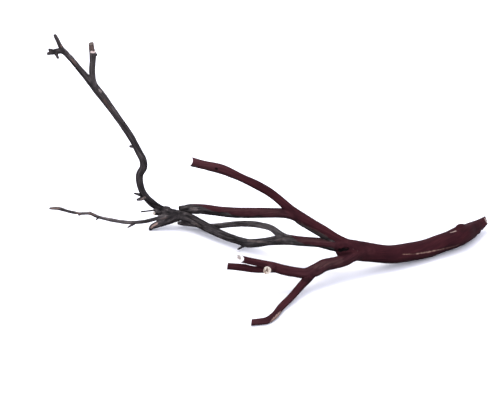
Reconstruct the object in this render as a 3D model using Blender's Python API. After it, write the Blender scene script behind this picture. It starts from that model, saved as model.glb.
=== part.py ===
"""A piece of driftwood: one dead branch, lying on three low points of its underside.

The thick trunk runs to the right and away, towards +X and +Y, and ends in an oblique broken
butt. It forks on the left into an upper, a middle and a lower limb. The upper limb carries two
red branches, the middle one runs grey and weathered into a tall crooked stem, and the lower one
carries three sawn twigs and the front twig, which touches the ground.

The origin is on the flat spot under the trunk, +Z is up and the ground is the plane z = 0.
"""

import math

import bmesh
import bpy
import numpy as np
from mathutils import Vector

MM = 0.001

# Every branch is a list of points from its root to its tip: x, y, z and radius, in millimetres.
# Roots start inside the branch that carries them, so that the wood grows out of it.
TRUNK = [
    (131, 108, 20, 6.5),
    (116, 94, 17.7, 8.2),
    (102, 80, 17, 10),
    (91, 69, 16, 12.8),
    (82, 60, 16, 14.4),
    (61, 38, 18.5, 17),
    (41, 23, 17, 16.4),
    (21, 11, 16.5, 15.8),
    (-1, -1, 14.2, 16),
    (-35, -21, 17.8, 14.6),
    (-72, -40, 22.8, 13.8),
    (-108, -52, 33.4, 14.5),
    (-131, -60, 41, 15.4),
    (-155, -67, 47, 13.8),
]
TRUNK_SHOULDER = [(72, 52, 28, 4), (63, 44, 32, 5.8), (56, 37.5, 33, 4.8), (51, 33, 31, 3)]
UPPER_LIMB = [
    (-118, -56, 39, 12),
    (-131, -60, 43.5, 12.5),
    (-151, -60, 51, 11),
    (-169, -54, 59.8, 9.8),
    (-188, -46, 69.5, 9.4),
    (-208, -38, 78.3, 9.5),
    (-225, -30, 86.5, 9.4),
    (-240, -20, 95.8, 7.8),
    (-258, -5, 107, 6.9),
    (-277, 11, 115.8, 7.1),
    (-296, 23, 122.4, 7.3),
    (-325, 40, 129.8, 6.6),
    (-359, 58, 137.4, 7.7),
    (-386, 70, 139, 7.1),
    (-424, 85, 143.2, 7.7),
]
RED_BRANCH = [
    (-212, -36, 82, 7),
    (-226, -30, 87, 8),
    (-246, -20, 89, 7.8),
    (-274, 0, 81.2, 8),
    (-308, 25, 69.2, 8.9),
    (-330, 42, 61.2, 8.7),
    (-361, 66, 52.2, 7.7),
    (-388, 90, 44.2, 7.8),
    (-417, 117, 32.3, 7.6),
    (-434, 131, 25.5, 5.6),
    (-442, 137, 23, 4.6),
]
MIDDLE_LIMB = [
    (-122, -58, 41, 12),
    (-135, -62, 46, 13),
    (-151, -64, 50.5, 11),
    (-168, -60, 50.7, 9.6),
    (-192, -50, 49.5, 7.9),
    (-224, -32, 43, 7.9),
    (-248, -18, 39.3, 8.1),
    (-274, -4, 29, 6.5),
    (-297, 10, 18.5, 6.6),
    (-313, 19, 13.8, 7),
    (-325, 27, 13.6, 7),
    (-352, 47, 13.2, 7.1),
    (-379, 70, 15.5, 7.5),
    (-398, 86, 18, 7.8),
    (-416, 100, 21, 8),
    (-439, 110, 24, 7.6),
    (-463, 116, 29.5, 6.6),
    (-470, 117, 32.5, 6.2),
]
TALL_STEM = [
    (-446, 112, 25, 6.8),
    (-463, 116, 29.5, 6.6),
    (-487, 118, 45.5, 6.5),
    (-500.5, 118, 64, 5.6),
    (-506, 117, 88, 6.1),
    (-505, 116, 101.5, 6),
    (-497.5, 116, 116, 6.3),
    (-498, 116, 129.5, 6.3),
    (-504, 116, 143.5, 6.2),
    (-514, 114, 168.5, 5.8),
    (-534.5, 111, 206.5, 5.6),
    (-550.5, 109, 233.5, 5.7),
    (-562.5, 107, 253.5, 6.4),
    (-573, 106, 269, 6.3),
    (-581, 105, 281, 5.7),
    (-595.5, 103, 301, 4.5),
    (-610, 101, 321.5, 4.3),
    (-622, 100, 336, 3.7),
]
TOP_TWIG = [(-615, 100, 329, 3.7), (-625, 101, 342, 3.1), (-628.5, 102, 351, 2.7), (-632.5, 103, 359.5, 2.4)]
CROSS_TWIG = [(-614, 101, 327, 3.6), (-622, 100, 333.5, 4), (-636, 97, 333, 3.8), (-645.5, 95, 330.5, 2.1)]
CROSS_TWIG_PRONGS = [
    [(-633, 97, 334, 2.5), (-643, 98, 336.5, 1.7)],
    [(-633, 97, 332.5, 2.8), (-629, 94, 323.5, 1.9)],
]
SIDE_BRANCH = [
    (-571, 106, 268, 5),
    (-574.5, 105, 279, 5),
    (-575, 104, 296, 4.8),
    (-572.5, 103, 317, 4.7),
    (-571.5, 102, 328, 5.1),
    (-572.5, 101, 336, 4.2),
    (-573, 100, 351, 3.7),
]
GREY_ARC = [
    (-232, -27, 41, 6.2),
    (-242, -21, 41.7, 6.5),
    (-255, -12, 44.3, 5.8),
    (-270, 4, 49.2, 4.7),
    (-290, 22, 47, 4.5),
    (-316, 44, 38.8, 4.6),
    (-343, 64, 27.3, 4.4),
    (-369, 84, 14.3, 4.2),
    (-398, 100, 6.6, 3.4),
    (-420, 107, 6.5, 3.4),
    (-428, 109, 7, 4.1),
    (-438, 111, 6.5, 2.4),
]
FLAP = [
    (-424, 105, 22.5, 6),
    (-436, 107, 22.5, 7.5),
    (-453, 106, 17, 8.3),
    (-469, 103, 10.9, 6.7),
    (-480, 99, 7.9, 5.1),
    (-486, 97, 5.5, 3.9),
    (-488.5, 95.5, 1.6, 2.2),
]
PALE_STUB = [(-468, 113, 27, 5), (-475, 109, 28, 4.2), (-484.5, 105, 29, 3.2)]
LEFT_TWIG = [
    (-457, 110, 22, 4.8),
    (-475, 105, 19.5, 3.4),
    (-498, 98, 16.2, 2.9),
    (-524, 92, 17.3, 2.7),
    (-559, 84, 27, 2.6),
    (-581, 80, 35.5, 2.5),
    (-591, 78, 41.8, 2.6),
    (-610, 76, 43.2, 2),
    (-627, 74, 47.5, 2.2),
    (-649, 71, 55.6, 2.6),
    (-661, 70, 56, 1.6),
]
LOWER_LIMB = [
    (-110, -54, 35.4, 10.8),
    (-122, -59, 38, 12),
    (-139, -68, 36.2, 10.8),
    (-153, -76, 31.2, 10.1),
    (-170, -84, 30.3, 9.8),
    (-186, -92, 30.6, 10.2),
    (-202, -103, 27.2, 10),
    (-217, -112, 26.8, 8.3),
    (-235, -114, 30.1, 7.4),
    (-255, -116, 35.6, 7.3),
    (-272, -118, 42.7, 6.8),
    (-288, -121, 49.6, 5),
    (-308, -124, 56.2, 4.6),
    (-329, -127.3, 63.7, 4.7),
]
LOWER_TWIG = [
    (-255, -116, 36, 5.2),
    (-268, -117, 37.3, 5.3),
    (-288, -119, 37.8, 5),
    (-303, -120.5, 39.2, 4.8),
    (-317, -122, 42.9, 5.3),
    (-330, -123, 45, 4.8),
    (-354, -125, 48, 4.7),
]
DISK_STUB = [(-268, -112, 39, 6), (-276, -130, 45.5, 5.6), (-283, -158, 56, 5.4)]
FRONT_TWIG = [
    (-203, -101, 28, 7.2),
    (-210, -112, 23.5, 6.8),
    (-226, -132, 15.3, 5.8),
    (-242, -156, 9.3, 5.3),
    (-259.5, -182, 5.7, 5),
    (-271, -206, 4.9, 4.9),
    (-283, -219, 4.5, 4.6),
    (-296, -222, 4.4, 4.1),
    (-316, -226, 4.7, 4.1),
]
SNAGS = [
    [(-508, 115, 155, 3), (-518.5, 111, 157.5, 1.7)],
    [(-504, 117, 60, 3), (-515.5, 111, 66.5, 1.1)],
    [(-498, 117, 57, 4), (-504, 114, 54.5, 3), (-511, 111, 53.8, 1.8)],
    [(-474, 113, 33.5, 3), (-482, 112, 32.3, 1.6), (-504, 105, 32.6, 1.3)],
    [(-316, 21, 10, 3.5), (-321, 18, 7, 2), (-328, 13, 4.8, 1.4)],
    [(-514, 94, 16.5, 2.4), (-520, 92, 13, 1.7), (-528, 89, 9, 1.1)],
    [(-577, 81, 34, 2.4), (-582.5, 78, 29.5, 1.2)],
    [(-607, 76, 43, 2), (-612, 75, 40.5, 1.3)],
    [(-590, 78, 41, 2.4), (-592.5, 77.5, 45, 1.3)],
    [(-455, 116, 34, 3.2), (-462, 116, 37.5, 1.4)],
    [(-571, 103, 327, 4), (-566, 101, 327, 2.2)],
]
BRANCHES = [
    TRUNK,
    TRUNK_SHOULDER,
    UPPER_LIMB,
    RED_BRANCH,
    MIDDLE_LIMB,
    TALL_STEM,
    TOP_TWIG,
    CROSS_TWIG,
    *CROSS_TWIG_PRONGS,
    SIDE_BRANCH,
    GREY_ARC,
    FLAP,
    PALE_STUB,
    LEFT_TWIG,
    LOWER_LIMB,
    LOWER_TWIG,
    DISK_STUB,
    FRONT_TWIG,
    *SNAGS,
]

# Where branches meet: x, y, z and how far the crotch is rounded, in millimetres.
FORKS = [
    (-150, -62, 46, 34),
    (-228, -28, 88, 24),
    (-242, -21, 41, 20),
    (-212, -108, 27, 14),
    (-270, -118, 41, 15),
    (-460, 113, 28, 26),
    (-576, 105, 275, 13),
    (-622, 100, 335, 7),
]

# A cut or broken end: a point on its face, which way it faces, and the cutter's width and height
# across the face (mm). The cutter reaches as far outwards as it is wide.
CUTS = {
    "butt_end": ((120, 96, 20), (0.94, -0.08, 0.42), 60, 60),
    "butt_underside": ((110, 88, 10), (0.61, -0.06, -0.85), 48, 48),
    "butt_notch": ((91, 72, 6), (0.82, 0.03, -0.64), 44, 15),
    "butt_chip": ((105, 79, 7.5), (0.33, -0.49, -0.81), 16, 40),
    "upper_end": ((-411, 80, 142.5), (-0.87, -0.28, 0.4), 38, 38),
    "red_end": ((-436.5, 133, 25), (-0.9, 0.28, -0.3), 18, 18),
    "upper_twig_end": ((-323.8, -126.7, 62), (-0.4, -0.78, 0.48), 24, 24),
    "lower_twig_end": ((-343.5, -125, 46), (-0.98, 0.12, 0.1), 18, 18),
    "disk_end": ((-280, -147.5, 52), (-0.16, -0.87, 0.46), 18, 18),
    "front_twig_end": ((-305.5, -224, 4.5), (-0.99, 0.05, 0.1), 18, 18),
    "side_branch_end": ((-573, 100, 346.5), (-0.1, -0.35, 0.93), 14, 14),
    "pale_stub_end": ((-481.5, 106, 28.7), (-0.82, -0.5, 0.25), 9, 9),
}
# The slab of ground under the branch: its middle and its size (mm). Its top is at z = 0.
GROUND_MIDDLE = (-270, 0)
GROUND_SIZE = (1200, 1000, 20)

RING_SPACING = 3 * MM
SIDES = 20
CAP_RINGS = 3
CAP_LENGTH = 0.8
VOXEL = 0.7 * MM
CROTCH_SMOOTHINGS = 22
CROTCH_SHARE = 0.5
SOLID_TRIANGLES = 7500

# The wood isn't round: shallow ribs turn slowly about each branch, and it swells and narrows.
RIBS = ((2, 0.045, 55 * MM), (3, 0.03, 38 * MM), (5, 0.012, 26 * MM))
SWELLING = 0.025
SWELLING_LENGTH = 31 * MM
SWELLING_SHIFT = 1.7
# Each branch starts its ribs and swellings this much (radians) after the one before it.
PHASE_STEP = 1.3
# A branch that starts steeper than this (its direction's z) is carried from +Y instead of +Z.
STEEP = 0.9

WOOD_COLOUR = (0.075, 0.022, 0.024, 1)
WOOD_ROUGHNESS = 0.55


def clear_scene():
    for old in list(bpy.data.objects):
        bpy.data.objects.remove(old, do_unlink=True)


def wood_material():
    material = bpy.data.materials.new("weathered_wood")
    material.use_nodes = True
    shader = material.node_tree.nodes["Principled BSDF"]
    shader.inputs["Base Color"].default_value = WOOD_COLOUR
    shader.inputs["Roughness"].default_value = WOOD_ROUGHNESS
    shader.inputs["Metallic"].default_value = 0
    return material


def smooth_run(points):
    """The centres and radii of a branch's rings, in metres: a smooth curve through its points."""
    knots = np.array(points, float) * MM
    chords = np.linalg.norm(np.diff(knots[:, :3], axis=0), axis=1)
    along = np.concatenate([[0], np.cumsum(chords)])
    slopes = np.gradient(knots, along, axis=0)
    count = max(3, round(along[-1] / RING_SPACING) + 1)
    stations = np.linspace(0, along[-1], count)
    span = np.clip(np.searchsorted(along, stations, side="right") - 1, 0, len(chords) - 1)
    length = chords[span][:, None]
    t = (stations - along[span])[:, None] / length
    start = knots[span] * (1 + 2 * t) * (1 - t) ** 2 + slopes[span] * length * t * (1 - t) ** 2
    end = knots[span + 1] * t**2 * (3 - 2 * t) + slopes[span + 1] * length * t**2 * (t - 1)
    run = start + end
    return run[:, :3], run[:, 3], stations


def carried_frames(centres):
    """For each ring its direction and two directions across it, carried along without twisting."""
    directions = np.gradient(centres, axis=0)
    directions /= np.linalg.norm(directions, axis=1)[:, None]
    up = np.array([0.0, 0.0, 1.0])
    if abs(directions[0] @ up) > STEEP:
        up = np.array([0.0, 1.0, 0.0])
    across = []
    for direction in directions:
        up = up - direction * (up @ direction)
        up = up / np.linalg.norm(up)
        across.append(up)
    across = np.array(across)
    return directions, across, np.cross(directions, across)


def ribbed_radius(radius, station, angle, phase):
    """The radius at an angle about the branch, with its ribs and swellings."""
    scale = 1 + SWELLING * math.sin(station / SWELLING_LENGTH + SWELLING_SHIFT * phase)
    for ribs, height, turn in RIBS:
        scale += height * math.cos(ribs * angle + station / turn + phase * ribs)
    return radius * scale


def add_ring(mesh, centre, across, other, radius, station, phase):
    ring = []
    for side in range(SIDES):
        angle = 2 * math.pi * side / SIDES
        reach = ribbed_radius(radius, station, angle, phase)
        offset = reach * (math.cos(angle) * across + math.sin(angle) * other)
        ring.append(mesh.verts.new(centre + offset))
    return ring


def add_branch(mesh, points, phase):
    """A closed tube round the branch's curve, with rounded ends."""
    centres, radii, stations = smooth_run(points)
    directions, across, other = carried_frames(centres)
    rings = []
    for end, way in ((0, -1), (-1, 1)):
        cap = []
        for step in range(1, CAP_RINGS + 1):
            lift = 0.5 * math.pi * step / (CAP_RINGS + 1)
            out = way * directions[end] * radii[end] * CAP_LENGTH * math.sin(lift)
            round_off = radii[end] * math.cos(lift)
            place = centres[end] + out
            cap.append(add_ring(mesh, place, across[end], other[end], round_off, stations[end], phase))
        rings.append(cap)
    body = [
        add_ring(mesh, *ring, phase)
        for ring in zip(centres, across, other, radii, stations)
    ]
    rings = rings[0][::-1] + body + rings[1]
    for low, high in zip(rings, rings[1:]):
        for side in range(SIDES):
            after = (side + 1) % SIDES
            mesh.faces.new((low[side], low[after], high[after], high[side]))
    for ring, end, way in ((rings[0], 0, -1), (rings[-1], -1, 1)):
        tip = mesh.verts.new(centres[end] + way * directions[end] * radii[end] * CAP_LENGTH)
        for side in range(SIDES):
            pair = (ring[side], ring[(side + 1) % SIDES])
            mesh.faces.new((*(pair[::-1] if way < 0 else pair), tip))


def evaluated_copy(obj, name):
    """The object's mesh with its modifiers applied."""
    graph = bpy.context.evaluated_depsgraph_get()
    mesh = bpy.data.meshes.new_from_object(obj.evaluated_get(graph), depsgraph=graph)
    mesh.name = name
    return mesh


def round_crotches(mesh):
    """Smooths the mesh only near the forks, so that thin twigs keep their thickness."""
    work = bmesh.new()
    work.from_mesh(mesh)
    places = np.array([tuple(vert.co) for vert in work.verts])
    near = np.zeros(len(places), bool)
    for x, y, z, reach in FORKS:
        near |= np.linalg.norm(places - np.array([x, y, z]) * MM, axis=1) < reach * MM
    chosen = [vert for vert, close in zip(work.verts, near) if close]
    for _ in range(CROTCH_SMOOTHINGS):
        bmesh.ops.smooth_vert(
            work, verts=chosen, factor=CROTCH_SHARE, use_axis_x=True, use_axis_y=True, use_axis_z=True
        )
    work.to_mesh(mesh)
    work.free()


def grown_wood():
    """All branches fused into one skin of even small faces, then thinned to fewer triangles."""
    tubes = bmesh.new()
    for number, points in enumerate(BRANCHES):
        add_branch(tubes, points, phase=PHASE_STEP * number)
    bmesh.ops.recalc_face_normals(tubes, faces=tubes.faces)
    mesh = bpy.data.meshes.new("driftwood")
    tubes.to_mesh(mesh)
    tubes.free()
    wood = bpy.data.objects.new("driftwood", mesh)
    bpy.context.collection.objects.link(wood)
    fuse = wood.modifiers.new("fuse", "REMESH")
    fuse.mode = "VOXEL"
    fuse.voxel_size = VOXEL
    wood.data = evaluated_copy(wood, "driftwood")
    wood.modifiers.clear()
    round_crotches(wood.data)
    wood.data.shade_smooth()
    triangles = 2 * len(wood.data.polygons)
    thin = wood.modifiers.new("thin", "DECIMATE")
    thin.ratio = SOLID_TRIANGLES / triangles
    return wood


def cutter(name, size, centre, facing):
    """A box that only cuts, turned so that its local Z points along facing."""
    work = bmesh.new()
    bmesh.ops.create_cube(work, size=1)
    bmesh.ops.scale(work, vec=size, verts=work.verts)
    mesh = bpy.data.meshes.new(name)
    work.to_mesh(mesh)
    work.free()
    box = bpy.data.objects.new(name, mesh)
    bpy.context.collection.objects.link(box)
    box.rotation_euler = Vector(facing).to_track_quat("Z", "Y").to_euler()
    box.location = centre
    box.hide_render = True
    box.display_type = "WIRE"
    return box


def cut_with(wood, box):
    cut = wood.modifiers.new(box.name, "BOOLEAN")
    cut.operation = "DIFFERENCE"
    cut.solver = "EXACT"
    cut.object = box


def cut_ends(wood):
    for name, (point, facing, width, height) in CUTS.items():
        outward = Vector(facing).normalized()
        centre = (Vector(point) + outward * width / 2) * MM
        cut_with(wood, cutter(name, (width * MM, height * MM, width * MM), centre, outward))


def flatten_feet(wood):
    """The ground takes off what reaches below it, which leaves the flat spots that it rests on."""
    size = [side * MM for side in GROUND_SIZE]
    under_middle = (GROUND_MIDDLE[0] * MM, GROUND_MIDDLE[1] * MM, -size[2] / 2)
    cut_with(wood, cutter("ground", size, under_middle, (0, 0, 1)))


def build():
    clear_scene()
    wood = grown_wood()
    wood.data.materials.append(wood_material())
    cut_ends(wood)
    flatten_feet(wood)


build()
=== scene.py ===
"""The looks of a piece of driftwood: smooth dark red wood, grey dead wood and pale cut ends.

The branch is grown again on the CAD part's own skeleton, with finer faces, and then carved: grain,
grooves, bark edges, knots, hollows and saw marks are geometry. Colour comes from node materials
that read where each point lies along and across its branch.
"""

import math

import bpy
import numpy as np
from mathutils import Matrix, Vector


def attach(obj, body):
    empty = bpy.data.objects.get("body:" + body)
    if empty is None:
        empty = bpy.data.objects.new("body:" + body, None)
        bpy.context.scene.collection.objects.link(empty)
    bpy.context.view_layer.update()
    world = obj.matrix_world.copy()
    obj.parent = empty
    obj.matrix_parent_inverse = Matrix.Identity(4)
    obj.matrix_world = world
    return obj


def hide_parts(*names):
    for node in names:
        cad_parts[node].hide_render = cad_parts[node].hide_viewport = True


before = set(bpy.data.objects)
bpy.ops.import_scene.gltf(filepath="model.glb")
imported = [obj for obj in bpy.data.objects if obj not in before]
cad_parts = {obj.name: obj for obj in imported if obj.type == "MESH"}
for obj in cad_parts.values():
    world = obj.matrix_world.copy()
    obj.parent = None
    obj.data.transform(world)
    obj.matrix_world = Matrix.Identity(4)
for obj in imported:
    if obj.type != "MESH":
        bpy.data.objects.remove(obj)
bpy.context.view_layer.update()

MM = 0.001

# Every branch is a list of points from its root to its tip: x, y, z and radius, in millimetres.
# Roots start inside the branch that carries them, so that the wood grows out of it.
TRUNK = [
    (131, 108, 20, 6.5),
    (116, 94, 17.7, 8.2),
    (102, 80, 17, 10),
    (91, 69, 16, 12.8),
    (82, 60, 16, 14.4),
    (61, 38, 18.5, 17),
    (41, 23, 17, 16.4),
    (21, 11, 16.5, 15.8),
    (-1, -1, 14.2, 16),
    (-35, -21, 17.8, 14.6),
    (-72, -40, 22.8, 13.8),
    (-108, -52, 33.4, 14.5),
    (-131, -60, 41, 15.4),
    (-155, -67, 47, 13.8),
]
TRUNK_SHOULDER = [(72, 52, 28, 4), (63, 44, 32, 5.8), (56, 37.5, 33, 4.8), (51, 33, 31, 3)]
UPPER_LIMB = [
    (-118, -56, 39, 12),
    (-131, -60, 43.5, 12.5),
    (-151, -60, 51, 11),
    (-169, -54, 59.8, 9.8),
    (-188, -46, 69.5, 9.4),
    (-208, -38, 78.3, 9.5),
    (-225, -30, 86.5, 9.4),
    (-240, -20, 95.8, 7.8),
    (-258, -5, 107, 6.9),
    (-277, 11, 115.8, 7.1),
    (-296, 23, 122.4, 7.3),
    (-325, 40, 129.8, 6.6),
    (-359, 58, 137.4, 7.7),
    (-386, 70, 139, 7.1),
    (-424, 85, 143.2, 7.7),
]
RED_BRANCH = [
    (-212, -36, 82, 7),
    (-226, -30, 87, 8),
    (-246, -20, 89, 7.8),
    (-274, 0, 81.2, 8),
    (-308, 25, 69.2, 8.9),
    (-330, 42, 61.2, 8.7),
    (-361, 66, 52.2, 7.7),
    (-388, 90, 44.2, 7.8),
    (-417, 117, 32.3, 7.6),
    (-434, 131, 25.5, 5.6),
    (-442, 137, 23, 4.6),
]
MIDDLE_LIMB = [
    (-122, -58, 41, 12),
    (-135, -62, 46, 13),
    (-151, -64, 50.5, 11),
    (-168, -60, 50.7, 9.6),
    (-192, -50, 49.5, 7.9),
    (-224, -32, 43, 7.9),
    (-248, -18, 39.3, 8.1),
    (-274, -4, 29, 6.5),
    (-297, 10, 18.5, 6.6),
    (-313, 19, 13.8, 7),
    (-325, 27, 13.6, 7),
    (-352, 47, 13.2, 7.1),
    (-379, 70, 15.5, 7.5),
    (-398, 86, 18, 7.8),
    (-416, 100, 21, 8),
    (-439, 110, 24, 7.6),
    (-463, 116, 29.5, 6.6),
    (-470, 117, 32.5, 6.2),
]
TALL_STEM = [
    (-446, 112, 25, 6.8),
    (-463, 116, 29.5, 6.6),
    (-487, 118, 45.5, 6.5),
    (-500.5, 118, 64, 5.6),
    (-506, 117, 88, 6.1),
    (-505, 116, 101.5, 6),
    (-497.5, 116, 116, 6.3),
    (-498, 116, 129.5, 6.3),
    (-504, 116, 143.5, 6.2),
    (-514, 114, 168.5, 5.8),
    (-534.5, 111, 206.5, 5.6),
    (-550.5, 109, 233.5, 5.7),
    (-562.5, 107, 253.5, 6.4),
    (-573, 106, 269, 6.3),
    (-581, 105, 281, 5.7),
    (-595.5, 103, 301, 4.5),
    (-610, 101, 321.5, 4.3),
    (-622, 100, 336, 3.7),
]
TOP_TWIG = [(-615, 100, 329, 3.7), (-625, 101, 342, 3.1), (-628.5, 102, 351, 2.7), (-632.5, 103, 359.5, 2.4)]
CROSS_TWIG = [(-614, 101, 327, 3.6), (-622, 100, 333.5, 4), (-636, 97, 333, 3.8), (-645.5, 95, 330.5, 2.1)]
CROSS_TWIG_PRONGS = [
    [(-633, 97, 334, 2.5), (-643, 98, 336.5, 1.7)],
    [(-633, 97, 332.5, 2.8), (-629, 94, 323.5, 1.9)],
]
SIDE_BRANCH = [
    (-571, 106, 268, 5),
    (-574.5, 105, 279, 5),
    (-575, 104, 296, 4.8),
    (-572.5, 103, 317, 4.7),
    (-571.5, 102, 328, 5.1),
    (-572.5, 101, 336, 4.2),
    (-573, 100, 351, 3.7),
]
GREY_ARC = [
    (-232, -27, 41, 6.2),
    (-242, -21, 41.7, 6.5),
    (-255, -12, 44.3, 5.8),
    (-270, 4, 49.2, 4.7),
    (-290, 22, 47, 4.5),
    (-316, 44, 38.8, 4.6),
    (-343, 64, 27.3, 4.4),
    (-369, 84, 14.3, 4.2),
    (-398, 100, 6.6, 3.4),
    (-420, 107, 6.5, 3.4),
    (-428, 109, 7, 4.1),
    (-438, 111, 6.5, 2.4),
]
FLAP = [
    (-424, 105, 22.5, 6),
    (-436, 107, 22.5, 7.5),
    (-453, 106, 17, 8.3),
    (-469, 103, 10.9, 6.7),
    (-480, 99, 7.9, 5.1),
    (-486, 97, 5.5, 3.9),
    (-488.5, 95.5, 1.6, 2.2),
]
PALE_STUB = [(-468, 113, 27, 5), (-475, 109, 28, 4.2), (-484.5, 105, 29, 3.2)]
LEFT_TWIG = [
    (-457, 110, 22, 4.8),
    (-475, 105, 19.5, 3.4),
    (-498, 98, 16.2, 2.9),
    (-524, 92, 17.3, 2.7),
    (-559, 84, 27, 2.6),
    (-581, 80, 35.5, 2.5),
    (-591, 78, 41.8, 2.6),
    (-610, 76, 43.2, 2),
    (-627, 74, 47.5, 2.2),
    (-649, 71, 55.6, 2.6),
    (-661, 70, 56, 1.6),
]
LOWER_LIMB = [
    (-110, -54, 35.4, 10.8),
    (-122, -59, 38, 12),
    (-139, -68, 36.2, 10.8),
    (-153, -76, 31.2, 10.1),
    (-170, -84, 30.3, 9.8),
    (-186, -92, 30.6, 10.2),
    (-202, -103, 27.2, 10),
    (-217, -112, 26.8, 8.3),
    (-235, -114, 30.1, 7.4),
    (-255, -116, 35.6, 7.3),
    (-272, -118, 42.7, 6.8),
    (-288, -121, 49.6, 5),
    (-308, -124, 56.2, 4.6),
    (-329, -127.3, 63.7, 4.7),
]
LOWER_TWIG = [
    (-255, -116, 36, 5.2),
    (-268, -117, 37.3, 5.3),
    (-288, -119, 37.8, 5),
    (-303, -120.5, 39.2, 4.8),
    (-317, -122, 42.9, 5.3),
    (-330, -123, 45, 4.8),
    (-354, -125, 48, 4.7),
]
DISK_STUB = [(-268, -112, 39, 6), (-276, -130, 45.5, 5.6), (-283, -158, 56, 5.4)]
FRONT_TWIG = [
    (-203, -101, 28, 7.2),
    (-210, -112, 23.5, 6.8),
    (-226, -132, 15.3, 5.8),
    (-242, -156, 9.3, 5.3),
    (-259.5, -182, 5.7, 5),
    (-271, -206, 4.9, 4.9),
    (-283, -219, 4.5, 4.6),
    (-296, -222, 4.4, 4.1),
    (-316, -226, 4.7, 4.1),
]
SNAGS = [
    [(-508, 115, 155, 3), (-518.5, 111, 157.5, 1.7)],
    [(-504, 117, 60, 3), (-515.5, 111, 66.5, 1.1)],
    [(-498, 117, 57, 4), (-504, 114, 54.5, 3), (-511, 111, 53.8, 1.8)],
    [(-474, 113, 33.5, 3), (-482, 112, 32.3, 1.6), (-504, 105, 32.6, 1.3)],
    [(-316, 21, 10, 3.5), (-321, 18, 7, 2), (-328, 13, 4.8, 1.4)],
    [(-514, 94, 16.5, 2.4), (-520, 92, 13, 1.7), (-528, 89, 9, 1.1)],
    [(-577, 81, 34, 2.4), (-582.5, 78, 29.5, 1.2)],
    [(-607, 76, 43, 2), (-612, 75, 40.5, 1.3)],
    [(-590, 78, 41, 2.4), (-592.5, 77.5, 45, 1.3)],
    [(-455, 116, 34, 3.2), (-462, 116, 37.5, 1.4)],
    [(-571, 103, 327, 4), (-566, 101, 327, 2.2)],
]

# Where branches meet: x, y, z and how far the crotch is rounded, in millimetres.
FORKS = [
    (-150, -62, 46, 34),
    (-228, -28, 88, 24),
    (-242, -21, 41, 20),
    (-212, -108, 27, 14),
    (-270, -118, 41, 15),
    (-460, 113, 28, 26),
    (-576, 105, 275, 13),
    (-622, 100, 335, 7),
]

# A cut or broken end: a point on its face, which way it faces, and the cutter's width and height
# across the face (mm). The cutter reaches as far outwards as it is wide.
CUTS = {
    "butt_end": ((120, 96, 20), (0.94, -0.08, 0.42), 60, 60),
    "butt_underside": ((110, 88, 10), (0.61, -0.06, -0.85), 48, 48),
    "butt_notch": ((91, 72, 6), (0.82, 0.03, -0.64), 44, 15),
    "butt_chip": ((105, 79, 7.5), (0.33, -0.49, -0.81), 16, 40),
    "upper_end": ((-411, 80, 142.5), (-0.87, -0.28, 0.4), 38, 38),
    "red_end": ((-436.5, 133, 25), (-0.9, 0.28, -0.3), 18, 18),
    "upper_twig_end": ((-323.8, -126.7, 62), (-0.4, -0.78, 0.48), 24, 24),
    "lower_twig_end": ((-343.5, -125, 46), (-0.98, 0.12, 0.1), 18, 18),
    "disk_end": ((-280, -147.5, 52), (-0.16, -0.87, 0.46), 18, 18),
    "front_twig_end": ((-305.5, -224, 4.5), (-0.99, 0.05, 0.1), 18, 18),
    "side_branch_end": ((-573, 100, 346.5), (-0.1, -0.35, 0.93), 14, 14),
    "pale_stub_end": ((-481.5, 106, 28.7), (-0.82, -0.5, 0.25), 9, 9),
}

RING_SPACING = 2 * MM
SIDES = 28
CAP_RINGS = 4
CAP_LENGTH = 0.8
VOXEL = 0.7 * MM
CROTCH_SMOOTHINGS = 22
CROTCH_SHARE = 0.5
MOST_TRIANGLES = 192000
RIBS = ((2, 0.045, 55 * MM), (3, 0.03, 38 * MM), (5, 0.012, 26 * MM))
SWELLING = 0.025
SWELLING_LENGTH = 31 * MM
SWELLING_SHIFT = 1.7
PHASE_STEP = 1.3
STEEP = 0.9

DOWN_IN_VIEW = (0, -0.42, -0.91)
DOWN_LEFT = (-0.45, -0.45, -0.77)
RED = [(0, 1.4)]
GREY = [(0, -2)]
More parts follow.
